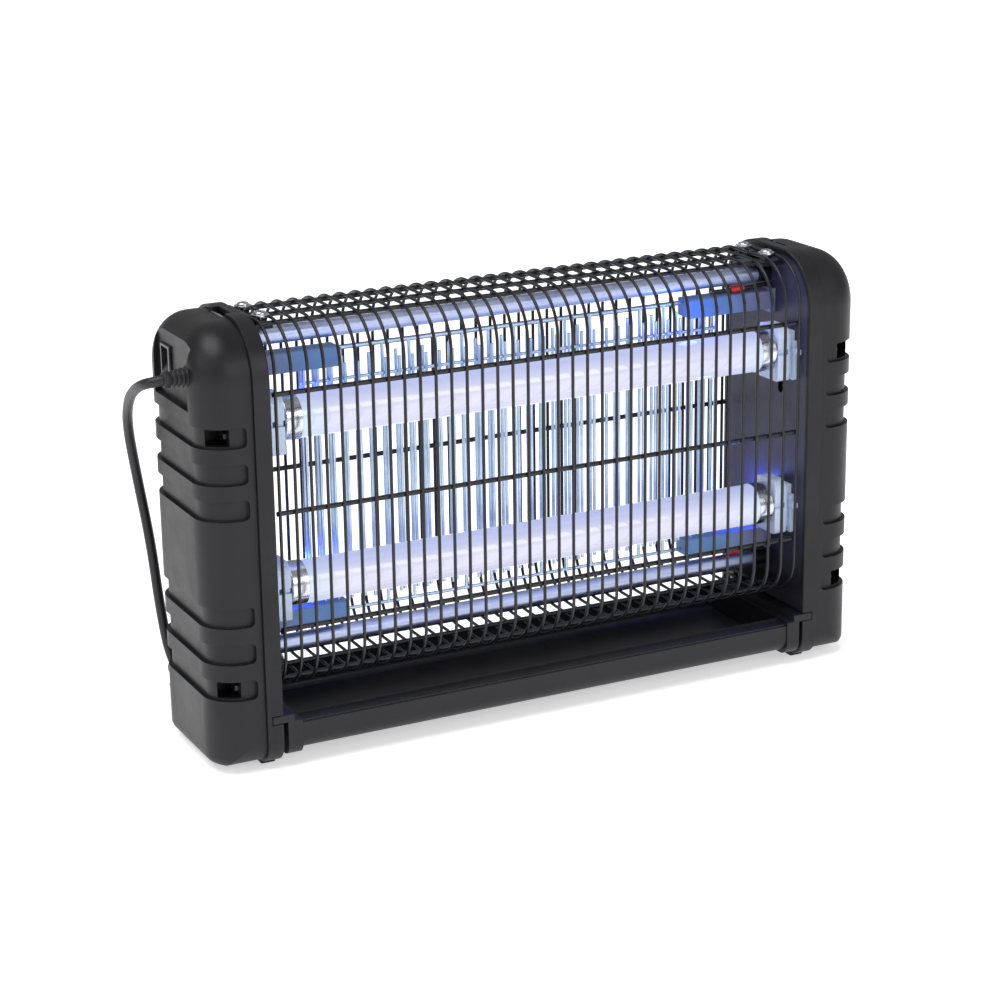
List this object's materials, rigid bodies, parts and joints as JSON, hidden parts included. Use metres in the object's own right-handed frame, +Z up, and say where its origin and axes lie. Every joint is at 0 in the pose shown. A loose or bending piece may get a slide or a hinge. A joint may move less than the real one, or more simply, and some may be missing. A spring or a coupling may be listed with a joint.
{
  "type": "electric bug zapper",
  "caption": "Electric insect killer with ultraviolet tube lamps and a high-voltage rod grid inside a wire guard, between moulded end caps, over a slide-out collecting tray.",
  "frame": {"origin": "on the surface the feet stand on, below the middle of the housing", "axes": "+X along the lamps, towards the end without the cord; the tray slides out towards -Y; +Z up"},
  "size_m": [0.4573, 0.1954, 0.2617],
  "materials": {
    "housing_plastic": "fine moulded texture, satin black",
    "plate_plastic": "fine moulded texture, satin black",
    "guard_wire": "black powder coat",
    "grid_steel": "bright zinc plate",
    "tie_metal": "drawn tube",
    "lamp_glass": "phosphor-coated tube, lit",
    "lamp_metal": "bright",
    "pin_brass": "bright",
    "holder_plastic": "moulded, white",
    "arm_plastic": "moulded, grey-blue in the lamps' light",
    "lead_black": "silicone lead",
    "sleeve_red": "heat-shrink sleeve",
    "tray_plastic": "fine moulded texture, satin black",
    "screw_metal": "zinc plate",
    "dark_screw": "black oxide",
    "foot_rubber": "moulded",
    "switch_plastic": "moulded",
    "boot_rubber": "moulded",
    "cord_jacket": "smooth PVC jacket",
    "plug_plastic": "overmoulded PVC",
    "plug_metal": "nickel plate",
    "hanger_steel": "zinc plate",
    "core_steel": "laminated",
    "winding_tape": "taped",
    "board_green": "solder mask",
    "capacitor_blue": "dipped",
    "case_white": "moulded"
  },
  "bodies": {
    "housing": {"end_cap_left": "housing_plastic", "end_frame_left": "plate_plastic", "hanger_eye_left": "hanger_steel", "lamp_holder_upper_left": "holder_plastic", "insulator_arm_upper_left": "arm_plastic", "lamp_holder_lower_left": "holder_plastic", "insulator_arm_lower_left": "arm_plastic", "end_cap_right": "housing_plastic", "end_frame_right": "plate_plastic", "hanger_eye_right": "hanger_steel", "lamp_holder_upper_right": "holder_plastic", "insulator_arm_upper_right": "arm_plastic", "lamp_holder_lower_right": "holder_plastic", "insulator_arm_lower_right": "arm_plastic", "guard_front": "guard_wire", "guard_rear": "guard_wire", "guard_top": "guard_wire", "guard_bottom": "guard_wire", "guard_screws": "screw_metal", "cap_screws": "dark_screw", "rubber_feet": "foot_rubber", "tie_tube_upper": "tie_metal", "tie_tube_lower": "tie_metal", "grid_comb_outer": "grid_steel", "grid_comb_inner": "grid_steel", "grid_leads": "lead_black", "lead_sleeves": "sleeve_red", "switch_housing": "switch_plastic", "strain_relief": "boot_rubber", "power_cord": "cord_jacket", "cord_coil": "cord_jacket", "cord_tail": "cord_jacket", "plug_body": "plug_plastic", "plug_pins": "plug_metal", "cord_clamp": "case_white", "terminal_block": "case_white", "ballast_upper": "case_white", "ballast_lower": "case_white", "transformer_core": "core_steel", "transformer_coil": "winding_tape", "multiplier_board": "board_green", "multiplier_capacitors": "capacitor_blue"},
    "tray": {"tray_trough": "tray_plastic", "tray_end_left": "tray_plastic", "tray_end_right": "tray_plastic"},
    "rocker": {"switch_rocker": "switch_plastic"},
    "upper_lamp": {"lamp_upper_glass": "lamp_glass", "lamp_upper_caps": "lamp_metal", "lamp_upper_pins": "pin_brass", "lamp_upper_rotors": "holder_plastic"},
    "lower_lamp": {"lamp_lower_glass": "lamp_glass", "lamp_lower_caps": "lamp_metal", "lamp_lower_pins": "pin_brass", "lamp_lower_rotors": "holder_plastic"}
  },
  "joints": [
    {"name": "tray_slide", "type": "slide", "parent": "housing", "child": "tray", "axis": [0, -1, 0], "range_m": [0, 0.08]},
    {"name": "switch_tilt", "type": "hinge", "parent": "housing", "child": "rocker", "pos_m": [-0.2088, 0.0125, 0.2325], "axis": [0, 1, 0], "range_deg": [-20, 0]},
    {"name": "upper_lamp_turn", "type": "hinge", "parent": "housing", "child": "upper_lamp", "pos_m": [0, -0.0222, 0.201], "axis": [1, 0, 0], "range_deg": [0, 90]},
    {"name": "lower_lamp_turn", "type": "hinge", "parent": "housing", "child": "lower_lamp", "pos_m": [0, -0.0222, 0.1025], "axis": [1, 0, 0], "range_deg": [0, 90]}
  ]
}
